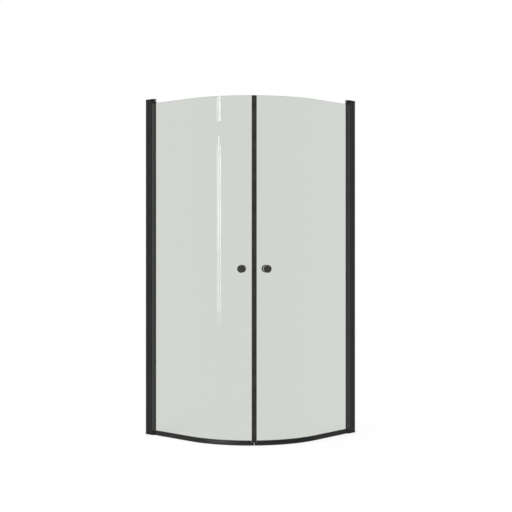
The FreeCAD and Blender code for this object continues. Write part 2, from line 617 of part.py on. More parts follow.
LEFT_HALF = {
    "wall_channel": wall_channel,
    "adjusting_profile": adjusting_profile,
    "hinge_seal": hinge_seal,
    "bottom_cap": bottom_cap,
    "top_cap": top_cap,
    "bottom_pivot_pin": bottom_pivot_pin,
    "top_pivot_pin": lambda: turned_over(bottom_pivot_pin()),
    "thrust_washer": thrust_washer,
    "cap_screws": cap_screws,
    "fixing_screws": fixing_screws,
    "screw_covers": screw_covers,
    "pivot_tube": pivot_tube,
    "bottom_bush": bottom_bush,
    "top_bush": top_bush,
    "glazing_gasket": glazing_gasket,
    "glass": glass,
    "bottom_rail": bottom_rail,
    "rail_gasket": rail_gasket,
    "bottom_seal": bottom_seal,
    "rail_end_cap": rail_end_cap,
    "edge_seal": edge_seal,
    "magnet_strip": magnet_strip,
    "knob_outer": lambda: knob(1),
    "knob_inner": lambda: knob(-1),
    "knob_stud": knob_stud,
    "knob_washers": knob_washers,
    "knob_sleeve": knob_sleeve,
}


def main():
    os.makedirs("parts", exist_ok=True)
    to_middle = Vec(-OVERALL_WIDTH / 2, OVERALL_WIDTH / 2, 0)
    for name, make in LEFT_HALF.items():
        left = make()
        right = left.mirror(Vec(0, 0, 0), Vec(1, 1, 0))
        for side, shape in (("left", left), ("right", right)):
            shape = shape.copy()
            shape.translate(to_middle)
            if not shape.isValid() or shape.Volume <= 0:
                raise ValueError(f"{name}_{side} is not a valid solid")
            shape.exportStep(f"parts/{name}_{side}.step")


main()
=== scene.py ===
"""Looks of the curved shower doors: detailed pieces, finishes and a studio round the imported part.

The left half is modelled, and mirrored for the right half. In its terms "out" is the offset from the
middle of the glass, away from the shower, and "gap" is the distance before the seam, measured along
the glass. Lengths are in metres.
"""
import json
import math

import bmesh
import bpy
from bpy.props import FloatProperty, FloatVectorProperty, IntProperty, PointerProperty
from mathutils import Matrix, Vector

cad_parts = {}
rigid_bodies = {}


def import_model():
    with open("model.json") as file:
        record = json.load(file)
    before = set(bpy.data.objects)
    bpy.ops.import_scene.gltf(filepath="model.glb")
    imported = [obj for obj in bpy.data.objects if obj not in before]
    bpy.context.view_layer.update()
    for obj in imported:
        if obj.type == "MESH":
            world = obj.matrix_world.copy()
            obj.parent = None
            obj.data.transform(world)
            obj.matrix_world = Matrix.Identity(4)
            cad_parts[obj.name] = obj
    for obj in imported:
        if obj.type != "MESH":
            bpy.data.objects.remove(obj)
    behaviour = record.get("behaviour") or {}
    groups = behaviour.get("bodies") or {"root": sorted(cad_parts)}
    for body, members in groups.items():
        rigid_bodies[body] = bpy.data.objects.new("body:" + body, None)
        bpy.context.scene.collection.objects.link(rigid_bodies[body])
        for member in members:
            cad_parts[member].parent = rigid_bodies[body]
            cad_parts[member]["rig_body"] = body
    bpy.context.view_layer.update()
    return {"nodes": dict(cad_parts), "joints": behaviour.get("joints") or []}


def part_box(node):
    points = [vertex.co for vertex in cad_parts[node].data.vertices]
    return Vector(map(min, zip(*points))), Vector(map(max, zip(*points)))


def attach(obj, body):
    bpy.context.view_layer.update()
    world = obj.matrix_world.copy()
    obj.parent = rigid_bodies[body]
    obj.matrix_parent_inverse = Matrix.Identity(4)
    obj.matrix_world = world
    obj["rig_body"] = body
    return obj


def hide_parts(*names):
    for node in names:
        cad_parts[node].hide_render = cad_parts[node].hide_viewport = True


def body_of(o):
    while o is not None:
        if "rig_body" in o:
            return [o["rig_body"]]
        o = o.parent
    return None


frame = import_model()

bl_info = {
    "name": "Curved shower doors",
    "version": (1, 0, 0),
    "blender": (4, 5, 0),
    "location": "3D View > Sidebar > Shower doors",
    "description": "Builds the visible pieces, finishes and studio of a pair of curved shower doors",
    "category": "Add Mesh",
}

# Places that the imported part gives
PIVOT = Vector(next(joint["pos_m"] for joint in frame["joints"] if joint["name"] == "left_door_swing"))

# Directions and limits
MM = 0.001
UP = Vector((0, 0, 1))
SIDES = ("left", "right")
TO_RIGHT_HALF = Matrix(((0, -1, 0, 0), (-1, 0, 0, 0), (0, 0, 1, 0), (0, 0, 0, 1)))
SEAM_TURN = math.radians(45)         # turn of the glass from where its curve starts to the seam
SHARP_ANGLE = math.radians(35)       # edges turned more than this can be rounded, and shade as sharp
TOUCH = 0.01 * MM                    # points closer than this are one point
WORN_EDGE = "worn_edge"              # face attribute: 1 on a rounded edge


def lowest(node):
    """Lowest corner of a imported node's box."""
    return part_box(node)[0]


def highest(node):
    """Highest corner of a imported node's box."""
    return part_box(node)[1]


def half_width(node):
    """Half the width of a left piece that lies along the glass."""
    return PIVOT.y - lowest(node).y


class DoorSizes(bpy.types.PropertyGroup):
    """Sizes of the doors' visible pieces."""
    glass_radius: FloatProperty(
        name="Glass radius", description="Axis of the curve to the middle of the glass",
        default=0.503, unit="LENGTH")
    curve_steps: IntProperty(
        name="Curve steps", description="Faces along the curved part of a door", default=72, min=12)
    glass_arris: FloatProperty(
        name="Glass arris", description="Ground corner of the glass", default=0.0008, unit="LENGTH")
    edge_round: FloatProperty(
        name="Edge rounding", description="Rounding of the pivot tube's jaw",
        default=0.0005, unit="LENGTH")
    tube_wall: FloatProperty(
        name="Tube wall", description="Wall of the pivot tube", default=0.0018, unit="LENGTH")
    knob_gap: FloatProperty(
        name="Knob to seam", description="Seam to the knobs' axis, along the glass",
        default=0.0705, unit="LENGTH")
    seal_reach: FloatProperty(
        name="Seal reach", description="Seam to the tip of the edge seal's grips, along the glass",
        default=0.014, unit="LENGTH")
    rail_gap: FloatProperty(
        name="Rail to seam", description="Seam to the ends of the rail and of its seals, along the glass",
        default=0.015, unit="LENGTH")
    knob_round: FloatProperty(
        name="Knob rounding", description="Rounding of the knob's front edge",
        default=0.0015, unit="LENGTH")


class DoorColours(bpy.types.PropertyGroup):
    """Colours of the doors' finishes."""
    black_coat: FloatVectorProperty(
        name="Black coat", description="Coat on the profiles, tubes and rails",
        default=(0.008, 0.008, 0.0078), size=3, subtype="COLOR")
    black_plastic: FloatVectorProperty(
        name="Black plastic", description="Moulded caps, bushes and covers",
        default=(0.007, 0.007, 0.0068), size=3, subtype="COLOR")
    black_seal: FloatVectorProperty(
        name="Black seal", description="Soft seals and gaskets",
        default=(0.030, 0.030, 0.029), size=3, subtype="COLOR")
    black_lacquer: FloatVectorProperty(
        name="Black lacquer", description="Lacquer on the knobs",
        default=(0.052, 0.052, 0.051), size=3, subtype="COLOR")
    glass_tint: FloatVectorProperty(
        name="Glass tint", description="Tint of what is seen through the glass",
        default=(0.626, 0.650, 0.610), size=3, subtype="COLOR")
    glass_edge: FloatVectorProperty(
        name="Glass edge", description="Tint of the ground edges of the glass",
        default=(0.34, 0.52, 0.43), size=3, subtype="COLOR")
    steel: FloatVectorProperty(
        name="Steel", description="Pins, studs and fixing screws",
        default=(0.56, 0.56, 0.55), size=3, subtype="COLOR")
    nylon: FloatVectorProperty(
        name="Nylon", description="Pale washers and sleeves",
        default=(0.74, 0.73, 0.69), size=3, subtype="COLOR")


class StudioSettings(bpy.types.PropertyGroup):
    """Camera and light of the studio."""
    camera_turn: FloatProperty(
        name="Camera turn", description="Direction of the camera, from -Y towards +X",
        default=math.radians(42.384), subtype="ANGLE")
    camera_distance: FloatProperty(
        name="Camera distance", description="Camera to the middle of the plan",
        default=6.46, unit="LENGTH")
    camera_height: FloatProperty(
        name="Camera height", description="Camera above the floor", default=1.1365, unit="LENGTH")
    camera_shift: FloatVectorProperty(
        name="Camera shift", description="Shift of the frame to the right and up, in picture widths",
        default=(0.0099, -0.0233), size=2)
    focal_length: FloatProperty(
        name="Focal length", description="Lens of the camera, in millimetres", default=75.55)
    room_light: FloatProperty(
        name="Room light", description="Strength of the even light from all round", default=0.62)
    key_strength: FloatProperty(
        name="Key light", description="Strength of the soft light from above the camera", default=1.5)
    strip_radiance: FloatProperty(
        name="Strip light", description="Brightness of the strip lamps that the left pane mirrors",
        default=2.9)
    strip_distance: FloatProperty(
        name="Strip distance", description="Left pane to the strip lamps", default=3.0, unit="LENGTH")
    rail_power: FloatProperty(
        name="Rail lamp", description="Power of the low lamp for the rails, in watts", default=88.0)
    highlight_turn: FloatProperty(
        name="Highlight turn", description="Place of the highlight round the left pane's curve",
        default=math.radians(21.76), subtype="ANGLE")


# Points and outlines

def curve_axis(sizes):
    """Axis of the glass's curve, on the diagonal that mirrors one half to the other."""
    return Vector((-PIVOT.y - sizes.glass_radius, PIVOT.y + sizes.glass_radius, 0))


def seam_turn(sizes, gap):
    """Turn of the curve at a distance before the seam."""
    return SEAM_TURN - gap / sizes.glass_radius


def curve_direction(turn):
    """Level direction from the curve's axis outwards, at a turn from where the curve starts."""
    return Vector((math.sin(turn), -math.cos(turn), 0))


def seam_point(sizes, gap, out, z):
    """Point near the seam of the left door."""
    reach = curve_direction(seam_turn(sizes, gap)) * (sizes.glass_radius + out)
    return curve_axis(sizes) + reach + UP * z


def off_glass(sizes, point):
    """Distance from the middle of the left glass, on either side of it."""
    axis = curve_axis(sizes)
    level = Vector((max(point.x - axis.x, 0), point.y - axis.y))
    return abs(level.length - sizes.glass_radius)


def arc(across, along, radius, start, end, steps):
    """Points of a flat arc, with its angles in degrees."""
    turns = [math.radians(start + (end - start) * step / steps) for step in range(steps + 1)]
    return [(across + radius * math.cos(turn), along + radius * math.sin(turn)) for turn in turns]


def whole_section(side):
    """Closed (out, height) section from its points on one side of the glass."""
    return side + [(-out, z) for out, z in reversed(side)]


def whole_plan(side):
    """Closed (along the glass, out) outline from its points on one side of the glass."""
    return side + [(along, -out) for along, out in reversed(side)]


# Solids

def new_solid():
    """Empty solid whose faces can be marked as worn edges."""
    bm = bmesh.new()
    bm.faces.layers.float.new(WORN_EDGE)
    return bm


def of_type(geometry, kind):
    """Items of one kind among the geometry that an operator gives back."""
    return [item for item in geometry if isinstance(item, kind)]


def add_loop(bm, points):
    """Closed loop of edges through the points."""
    verts = [bm.verts.new(point) for point in points]
    return [bm.edges.new(pair) for pair in zip(verts, verts[1:] + verts[:1])]


def sweep(sizes, section, start_x, end_gap):
    """Solid that carries an (out, height) section along the left door, up to a gap before the seam."""
    bm = new_solid()
    axis = curve_axis(sizes)
    loop = add_loop(bm, [(start_x, PIVOT.y - out, z) for out, z in section])
    straight = bmesh.ops.extrude_edge_only(bm, edges=loop)["geom"]
    far_verts = of_type(straight, bmesh.types.BMVert)
    bmesh.ops.translate(bm, verts=far_verts, vec=(axis.x - start_x, 0, 0))
    far_loop = [edge for edge in bm.edges if all(vert in far_verts for vert in edge.verts)]
    bmesh.ops.spin(bm, geom=far_verts + far_loop, cent=axis, axis=UP,
                   angle=seam_turn(sizes, end_gap), steps=sizes.curve_steps)
    bmesh.ops.edgeloop_fill(bm, edges=[edge for edge in bm.edges if edge.is_boundary])
    bmesh.ops.recalc_face_normals(bm, faces=bm.faces)
    return bm


def prism(loops, height):
    """Upright solid on closed loops, the first its outline and the others its hollows."""
    bm = new_solid()
    edges = [edge for loop in loops for edge in add_loop(bm, loop)]
    base = of_type(bmesh.ops.triangle_fill(bm, edges=edges, use_beauty=True)["geom"], bmesh.types.BMFace)
    raised = bmesh.ops.extrude_face_region(bm, geom=base, use_keep_orig=True)["geom"]
    bmesh.ops.translate(bm, verts=of_type(raised, bmesh.types.BMVert), vec=UP * height)
    bmesh.ops.recalc_face_normals(bm, faces=bm.faces)
    return bm


def turned(profile, steps):
    """Solid turned about the z axis from (radius, height) points that start and end on the axis."""
    bm = new_solid()
    verts = [bm.verts.new((radius, 0, height)) for radius, height in profile]
    edges = [bm.edges.new(pair) for pair in zip(verts, verts[1:])]
    bmesh.ops.spin(bm, geom=verts + edges, cent=(0, 0, 0), axis=UP, angle=math.tau, steps=steps,
                   use_merge=True)
    bmesh.ops.remove_doubles(bm, verts=bm.verts, dist=TOUCH)
    bmesh.ops.recalc_face_normals(bm, faces=bm.faces)
    return bm


def is_level(edge):
    """True for an edge that runs level."""
    return abs(edge.verts[0].co.z - edge.verts[1].co.z) < TOUCH


def round_edges(bm, width, wanted):
    """Rounds the sharp edges that wanted picks, and marks the new faces as worn edges."""
    edges = [edge for edge in bm.edges
             if edge.is_manifold and edge.calc_face_angle() > SHARP_ANGLE and wanted(edge)]
    made = bmesh.ops.bevel(bm, geom=edges, offset=width, offset_type="OFFSET", segments=3,
                           profile=0.5, affect="EDGES", material=-1, clamp_overlap=True)
    worn = bm.faces.layers.float[WORN_EDGE]
    for face in made["faces"]:
        face[worn] = 1.0


def add_object(name, data):
    """New object in the scene."""
    added = bpy.data.objects.new(name, data)
    bpy.context.scene.collection.objects.link(added)
    return added


def as_object(name, bm):
    """New object with a solid as its mesh, which uses up the solid."""
    mesh = bpy.data.meshes.new(name)
    bm.to_mesh(mesh)
    bm.free()
    return add_object(name, mesh)


def drilled(bm, drill):
    """The first solid with the second one cut out of it."""
    blank, tool = as_object("blank", bm), as_object("drill", drill)
    hole = blank.modifiers.new("hole", "BOOLEAN")
    hole.object = tool
    hole.solver = "EXACT"
    mesh = bpy.data.meshes.new_from_object(blank.evaluated_get(bpy.context.evaluated_depsgraph_get()))
    result = bmesh.new()
    result.from_mesh(mesh)
    bmesh.ops.remove_doubles(result, verts=result.verts, dist=TOUCH)
    for used in (blank.data, tool.data, mesh):
        bpy.data.meshes.remove(used)
    return result


def add_pair(part, piece_name, shape, *finishes):
    """Adds the left and right pieces of a shape in place of the two nodes of a part.

    Without finishes of its own, a piece takes the one that goes with the nodes' slot.
    """
    for side in SIDES:
        node = frame["nodes"][f"{part}_{side}"]
        bm = shape()
        if side == "right":
            bm.transform(TO_RIGHT_HALF)
            bmesh.ops.reverse_faces(bm, faces=bm.faces)
        piece = as_object(f"{piece_name}_{side}", bm)
        slot = node["slot"]
        for finish in finishes or (slot,):
            piece.data.materials.append(bpy.data.materials[FINISH_NAMES[finish]])
        piece.data.shade_smooth()
        piece.data.set_sharp_from_angle(angle=SHARP_ANGLE)
        shading = piece.modifiers.new("even shading", "WEIGHTED_NORMAL")
        shading.keep_sharp = True
        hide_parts(node.name)
        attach(piece, body_of(node)[0])


# Finishes

FINISH_NAMES = {
    "black_profile": "satin black coat",
    "black_rail": "dull black coat",
    "black_tube": "glossy black coat",
    "black_plastic": "moulded black plastic",
    "black_seal": "soft black seal",
    "black_knob": "black knob lacquer",
    "black_screw": "blackened screw",
    "magnet": "magnet strip",
    "clear_glass": "clear glass",
    "glass_edge": "ground glass edge",
    "steel": "turned steel",
    "white_nylon": "pale nylon",
    "soft_washer": "soft clear washer",
}
PATTERN_LOW, PATTERN_HIGH = 0.3, 0.7     # most of a cloudy pattern lies between these
GLASS_IOR = 1.5
WHITE = (1, 1, 1)


def shade(colour, times):
    """A colour times a number, as a colour socket takes it."""
    return (*[times * channel for channel in colour], 1)


class Finish:
    """A material in the making, with short calls for the nodes that the finishes share."""

    def __init__(self, slot):
        self.material = bpy.data.materials.new(FINISH_NAMES[slot])
        self.material.use_nodes = True
        self.nodes = self.material.node_tree.nodes
        self.links = self.material.node_tree.links
        self.shader = self.nodes["Principled BSDF"]
        self.place = self.nodes.new("ShaderNodeTexCoord").outputs["Object"]

    def set(self, name, value):
        """Gives a socket of the shader one value all over, or the output of a node."""
        if isinstance(value, bpy.types.NodeSocket):
            self.links.new(value, self.shader.inputs[name])
        else:
            self.shader.inputs[name].default_value = value

    def noise(self, scale, detail=2.0, stretch=(1, 1, 1)):
        """Cloudy pattern, drawn out along an axis whose stretch is small."""
        mapping = self.nodes.new("ShaderNodeMapping")
        mapping.inputs["Scale"].default_value = stretch
        texture = self.nodes.new("ShaderNodeTexNoise")
        texture.inputs["Scale"].default_value = scale
        texture.inputs["Detail"].default_value = detail
        self.links.new(self.place, mapping.inputs["Vector"])
        self.links.new(mapping.outputs["Vector"], texture.inputs["Vector"])
        return texture.outputs["Fac"]

    def between(self, pattern, low, high):
        """Number that follows a pattern from a low to a high value."""
        spread = self.nodes.new("ShaderNodeMapRange")
        spread.inputs["From Min"].default_value = PATTERN_LOW
        spread.inputs["From Max"].default_value = PATTERN_HIGH
        spread.inputs["To Min"].default_value = low
        spread.inputs["To Max"].default_value = high
        self.links.new(pattern, spread.inputs["Value"])
        return spread.outputs["Result"]

    def tones(self, pattern, colour, low, high):
        """Shades of a colour that follow a pattern, from low to high times the colour."""
        ramp = self.nodes.new("ShaderNodeValToRGB")
        stops = zip(ramp.color_ramp.elements, (PATTERN_LOW, PATTERN_HIGH), (low, high))
        for stop, position, times in stops:
            stop.position = position
            stop.color = shade(colour, times)
        self.links.new(pattern, ramp.inputs["Fac"])
        return ramp.outputs["Color"]

    def worn(self, tone, colour, paler):
        """The tones of a colour, with paler patches of it along the rounded edges."""
        edge = self.nodes.new("ShaderNodeAttribute")
        edge.attribute_name = WORN_EDGE
        patches = self.nodes.new("ShaderNodeMath")
        patches.operation = "MULTIPLY"
        rubs = self.between(self.noise(scale=60, detail=4), low=0.1, high=0.9)
        self.links.new(edge.outputs["Fac"], patches.inputs[0])
        self.links.new(rubs, patches.inputs[1])
        mix = self.nodes.new("ShaderNodeMix")
        mix.data_type = "RGBA"
        factor, first, second, mixed = mix.inputs[0], mix.inputs[6], mix.inputs[7], mix.outputs[2]
        self.links.new(patches.outputs[0], factor)
        self.links.new(tone, first)
        second.default_value = shade(colour, paler)
        return mixed

    def bump(self, pattern, depth, strength=0.5):
        """Fine relief that follows a pattern."""
        relief = self.nodes.new("ShaderNodeBump")
        relief.inputs["Strength"].default_value = strength
        relief.inputs["Distance"].default_value = depth
        self.links.new(pattern, relief.inputs["Height"])
        self.set("Normal", relief.outputs["Normal"])


def black_coats(colours):
    """Powder coat with a fine orange peel over drawn metal, dull on the rails and glossy on the tubes."""
    for name, gloss, smooth, rough in (
            ("black_profile", 0.25, 0.34, 0.46),
            ("black_rail", 0.18, 0.34, 0.46),
            ("black_tube", 0.55, 0.26, 0.36)):
        finish = Finish(name)
        drawn = finish.noise(scale=500, detail=3, stretch=(1, 1, 0.004))
        dust = finish.noise(scale=5, detail=6)
        tone = finish.tones(dust, colours.black_coat, low=0.8, high=1.25)
        finish.set("Base Color", finish.worn(tone, colours.black_coat, paler=2.2))
        finish.set("Roughness", finish.between(drawn, smooth, rough))
        finish.set("Specular IOR Level", gloss)
        finish.bump(finish.noise(scale=1400), depth=0.02 * MM)


def moulded_black_plastic(colours):
    """Nylon with the fine grain of an eroded mould."""
    finish = Finish("black_plastic")
    tone = finish.tones(finish.noise(scale=30, detail=5), colours.black_plastic, low=0.75, high=1.3)
    finish.set("Base Color", finish.worn(tone, colours.black_plastic, paler=2.5))
    finish.set("Roughness", finish.between(finish.noise(scale=120, detail=4), low=0.42, high=0.58))
    finish.set("Specular IOR Level", 0.25)
    finish.bump(finish.noise(scale=2600, detail=3), depth=0.03 * MM, strength=0.7)


def soft_black_seal(colours):
    """Soft extruded vinyl, with marks that run up the tall seals."""
    finish = Finish("black_seal")
    tone = finish.tones(finish.noise(scale=18, detail=6), colours.black_seal, low=0.7, high=1.4)
    finish.set("Base Color", tone)
    drawn = finish.noise(scale=300, detail=3, stretch=(1, 1, 0.01))
    finish.set("Roughness", finish.between(drawn, low=0.5, high=0.68))
    finish.set("Specular IOR Level", 0.25)
    finish.bump(finish.noise(scale=900, stretch=(1, 1, 0.05)), depth=0.02 * MM)


def black_knob_lacquer(colours):
    """Matt lacquer with a little handling on it."""
    finish = Finish("black_knob")
    tone = finish.tones(finish.noise(scale=80, detail=5), colours.black_lacquer, low=0.8, high=1.3)
    finish.set("Base Color", finish.worn(tone, colours.black_lacquer, paler=1.5))
    finish.set("Roughness", finish.between(finish.noise(scale=140, detail=5), low=0.36, high=0.5))
    finish.set("Specular IOR Level", 0.06)
    finish.bump(finish.noise(scale=1800), depth=0.01 * MM)


def blackened_screw(colours):
    """Steel with an uneven black oxide."""
    finish = Finish("black_screw")
    tone = finish.tones(finish.noise(scale=400, detail=4), colours.black_coat, low=1.5, high=3.5)
    finish.set("Base Color", tone)
    finish.set("Metallic", 0.6)
    finish.set("Roughness", finish.between(finish.noise(scale=700, detail=3), low=0.35, high=0.55))
    finish.bump(finish.noise(scale=3000), depth=0.01 * MM)


def magnet_strip(colours):
    """Ferrite powder in rubber."""
    finish = Finish("magnet")
    tone = finish.tones(finish.noise(scale=1500, detail=4), colours.black_seal, low=1.5, high=4.0)
    finish.set("Base Color", tone)
    finish.set("Roughness", finish.between(finish.noise(scale=200, detail=4), low=0.6, high=0.8))
    finish.bump(finish.noise(scale=2500, detail=3), depth=0.02 * MM)


def clear_glass(colours):
    """Toughened glass with faint water marks."""
    finish = Finish("clear_glass")
    finish.set("Base Color", shade(colours.glass_tint, 1))
    finish.set("Transmission Weight", 1.0)
    finish.set("IOR", GLASS_IOR)
    finish.set("Roughness", finish.between(finish.noise(scale=26, detail=6), low=0.0, high=0.012))
    finish.bump(finish.noise(scale=2.2, detail=1), depth=0.05 * MM, strength=0.05)


def ground_glass_edge(colours):
    """Ground and polished edge, where the glass shows its green."""
    finish = Finish("glass_edge")
    tone = finish.tones(finish.noise(scale=90, detail=3), colours.glass_edge, low=0.85, high=1.1)
    finish.set("Base Color", tone)
    finish.set("Transmission Weight", 0.4)
    finish.set("IOR", GLASS_IOR)
    finish.set("Roughness", finish.between(finish.noise(scale=600, detail=3), low=0.12, high=0.26))
    finish.bump(finish.noise(scale=2000), depth=0.01 * MM)


def turned_steel(colours):
    """Steel with fine level marks from the lathe."""
    finish = Finish("steel")
    level = (0.05, 0.05, 1)
    tone = finish.tones(finish.noise(scale=40, detail=4), colours.steel, low=0.85, high=1.1)
    finish.set("Base Color", tone)
    finish.set("Metallic", 1.0)
    marks = finish.noise(scale=900, detail=3, stretch=level)
    finish.set("Roughness", finish.between(marks, low=0.2, high=0.36))
    finish.bump(finish.noise(scale=2400, stretch=level), depth=0.01 * MM)


def pale_nylon(colours):
    """Pale nylon that lets a little light in."""
    finish = Finish("white_nylon")
    tone = finish.tones(finish.noise(scale=70, detail=4), colours.nylon, low=0.92, high=1.06)
    finish.set("Base Color", tone)
    finish.set("Roughness", finish.between(finish.noise(scale=300, detail=3), low=0.38, high=0.52))
    finish.set("Subsurface Weight", 0.15)
    finish.set("Subsurface Radius", (2 * MM, 2 * MM, 1.5 * MM))
    finish.bump(finish.noise(scale=2200), depth=0.015 * MM)


def soft_clear_washer(colours):
    """Pale soft washer that is partly clear."""
    finish = Finish("soft_washer")
    tone = finish.tones(finish.noise(scale=150, detail=4), colours.nylon, low=1.1, high=1.25)
    finish.set("Base Color", tone)
    finish.set("Roughness", finish.between(finish.noise(scale=400, detail=3), low=0.3, high=0.45))
    finish.set("Transmission Weight", 0.2)
    finish.bump(finish.noise(scale=1500), depth=0.02 * MM)


class SHOWER_OT_make_finishes(bpy.types.Operator):
    """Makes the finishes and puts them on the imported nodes"""
    bl_idname = "shower.make_finishes"
    bl_label = "Make finishes"

    def execute(self, context):
        for make in (black_coats, moulded_black_plastic, soft_black_seal, black_knob_lacquer,
                     blackened_screw, magnet_strip, clear_glass, ground_glass_edge, turned_steel,
                     pale_nylon, soft_clear_washer):
            make(context.scene.shower_colours)
        for node in frame["nodes"].values():
            node["slot"] = node.data.materials[0].name
            node.data.materials[0] = bpy.data.materials[FINISH_NAMES[node["slot"]]]
        return {"FINISHED"}


# Pieces of the doors

PANE_FINISHES = ("clear_glass", "glass_edge")


def glass_pane(sizes):
    """Curved pane with a ground arris along its top and the hole for the knobs' stud."""
    low, high = lowest("glass_left"), highest("glass_left")
    half, arris = half_width("glass_left"), sizes.glass_arris
    end_gap, hole_radius, hole_reach = 6.5 * MM, 6 * MM, 3 * half
    section = whole_section([(half, low.z), (half, high.z - arris), (half - arris, high.z)])
    hole = [(0, -hole_reach), (hole_radius, -hole_reach), (hole_radius, hole_reach), (0, hole_reach)]
    drill = turned(hole, steps=48)
    drill.transform(knob_place(sizes, out_sign=1))
    pane = drilled(sweep(sizes, section, low.x, end_gap), drill)
    face_margin, upright_limit = 0.2 * half, 0.1
    for face in pane.faces:
        is_broad = abs(off_glass(sizes, face.calc_center_median()) - half) < face_margin
        is_clear = is_broad and abs(face.normal.z) < upright_limit
        face.material_index = PANE_FINISHES.index("clear_glass" if is_clear else "glass_edge")
    return pane


class SHOWER_OT_add_glass(bpy.types.Operator):
    """Adds the curved panes, which let the lamps' light through"""
    bl_idname = "shower.add_glass"
    bl_label = "Add glass"

    def execute(self, context):
        sizes = context.scene.shower_sizes
        add_pair("glass", "curved_pane", lambda: glass_pane(sizes), *PANE_FINISHES)
        for side in SIDES:
            bpy.data.objects[f"curved_pane_{side}"].visible_shadow = False
        return {"FINISHED"}


def tube_points(points, z):
    """Places of (from the pivot, out) points of the left pivot tube's section."""
    return [(PIVOT.x + reach, PIVOT.y - out, z) for reach, out in points]


def pivot_tube(sizes):
    """Round tube with the jaw that holds the glass."""
    low, high = lowest("pivot_tube_left"), highest("pivot_tube_left")
    radius = PIVOT.x - low.x
    mouth = high.x - PIVOT.x
    jaw_half, slot_half, jaw_floor, floor_wall = 6 * MM, 4 * MM, 9 * MM, 1.6 * MM
    joint = math.degrees(math.asin(jaw_half / radius))
    outline = arc(0, 0, radius, start=joint, end=360 - joint, steps=72)
    outline += [(mouth, -jaw_half), (mouth, -slot_half), (jaw_floor, -slot_half),
                (jaw_floor, slot_half), (mouth, slot_half), (mouth, jaw_half)]
    inner = radius - sizes.tube_wall
    cut = math.degrees(math.acos((jaw_floor - floor_wall) / inner))
    hollow = arc(0, 0, inner, start=cut, end=360 - cut, steps=48)
    tube = prism([tube_points(outline, low.z), tube_points(hollow, low.z)], high.z - low.z)

    def is_jaw_edge(edge):
        at_mouth = all(vert.co.x > high.x - TOUCH for vert in edge.verts)
        return at_mouth and not is_level(edge)

    round_edges(tube, sizes.edge_round, is_jaw_edge)
    return tube


class SHOWER_OT_add_pivot_tubes(bpy.types.Operator):
    """Adds the round tubes that the doors turn on"""
    bl_idname = "shower.add_pivot_tubes"
    bl_label = "Add pivot tubes"

    def execute(self, context):
        sizes = context.scene.shower_sizes
        add_pair("pivot_tube", "round_tube", lambda: pivot_tube(sizes), "black_tube")
        return {"FINISHED"}


def bottom_rail(sizes):
    """Curved rail with a slot for the glass, a groove for the seal and a shadow line on each face."""
    low, high = lowest("bottom_rail_left"), highest("bottom_rail_left")
    half = half_width("bottom_rail_left")
    slot, web, groove, groove_depth = 4 * MM, 8 * MM, 2.5 * MM, 4 * MM
    line_drop, line_width, line_depth, corner_round = 9.2 * MM, 1.6 * MM, 0.8 * MM, 0.8 * MM
    line_high, line_half = high.z - line_drop, half - line_depth
    line_low = line_high - line_width
    foot = [(groove, low.z + groove_depth), (groove, low.z), (half, low.z)]
    shadow_line = [(half, line_low), (line_half, line_low), (line_half, line_high), (half, line_high)]
    top = [(half, high.z), (slot, high.z), (slot, low.z + web)]
    rail = sweep(sizes, whole_section(foot + shadow_line + top), low.x, sizes.rail_gap)
    wall_middle = (slot + half) / 2

    def is_top_corner(edge):
        return is_level(edge) and all(
            vert.co.z > high.z - TOUCH and off_glass(sizes, vert.co) > wall_middle for vert in edge.verts)

    round_edges(rail, corner_round, is_top_corner)
    return rail


def rail_gasket(sizes):
    """Soft lining between the rail and the glass, with rounded lips."""
    low, high = lowest("rail_gasket_left"), highest("rail_gasket_left")
    half = half_width("rail_gasket_left")
    wall, floor = 0.9 * MM, 1 * MM
    lip_round = wall / 2
    lip = arc(half - lip_round, high.z - lip_round, lip_round, start=0, end=180, steps=6)
    section = whole_section([(half, low.z)] + lip + [(half - wall, low.z + floor)])
    return sweep(sizes, section, low.x, sizes.rail_gap)


class SHOWER_OT_add_rails(bpy.types.Operator):
    """Adds the curved bottom rails and their gaskets"""
    bl_idname = "shower.add_rails"
    bl_label = "Add bottom rails"

    def execute(self, context):
        sizes = context.scene.shower_sizes
        add_pair("bottom_rail", "curved_rail", lambda: bottom_rail(sizes), "black_rail")
        add_pair("rail_gasket", "rail_lining", lambda: rail_gasket(sizes))
        return {"FINISHED"}


def bottom_seal(sizes):
    """Seal under the rail, with a flange and two lips that thin towards the floor."""
    low = lowest("bottom_seal_left")
    half = half_width("bottom_seal_left")
    lip_length, flange, tip, root = 5.7 * MM, 2 * MM, 1.1 * MM, 2.4 * MM
    flange_low = low.z + lip_length
    lip = arc(half - tip / 2, low.z + tip / 2, tip / 2, start=180, end=360, steps=6)
    side = [(half - root, flange_low)] + lip + [(half, flange_low), (half, flange_low + flange)]
    return sweep(sizes, whole_section(side), low.x, sizes.rail_gap)


def edge_seal(sizes):
    """Seal on the free edge: a rounded head with a pocket for the magnet, and two grips on the glass."""
    low, high = lowest("edge_seal_left").z, highest("edge_seal_left").z
    front, root, tip = 0.05 * MM, 6 * MM, sizes.seal_reach
    head_half, head_round = 5.5 * MM, 1.6 * MM
    grip_in, grip_root, grip_tip = 3.05 * MM, 4.55 * MM, 3.95 * MM
    tip_taper, tip_edge = 1 * MM, 0.3 * MM
    side = arc(front + head_round, head_half - head_round, head_round, start=180, end=90, steps=6)
    side += [(root - head_round / 2, head_half), (root, head_half - head_round / 2), (root, grip_root),
             (tip - tip_taper, grip_tip), (tip, grip_in + tip_edge), (tip, grip_in), (root, grip_in)]
    near, far, pocket_half = 1.45 * MM, 4.8 * MM, 4.3 * MM
    pocket = [(near, -pocket_half), (far, -pocket_half), (far, pocket_half), (near, pocket_half)]
    outlines = (whole_plan(side), pocket)
    loops = [[seam_point(sizes, gap, out, low) for gap, out in outline] for outline in outlines]
    return prism(loops, high - low)


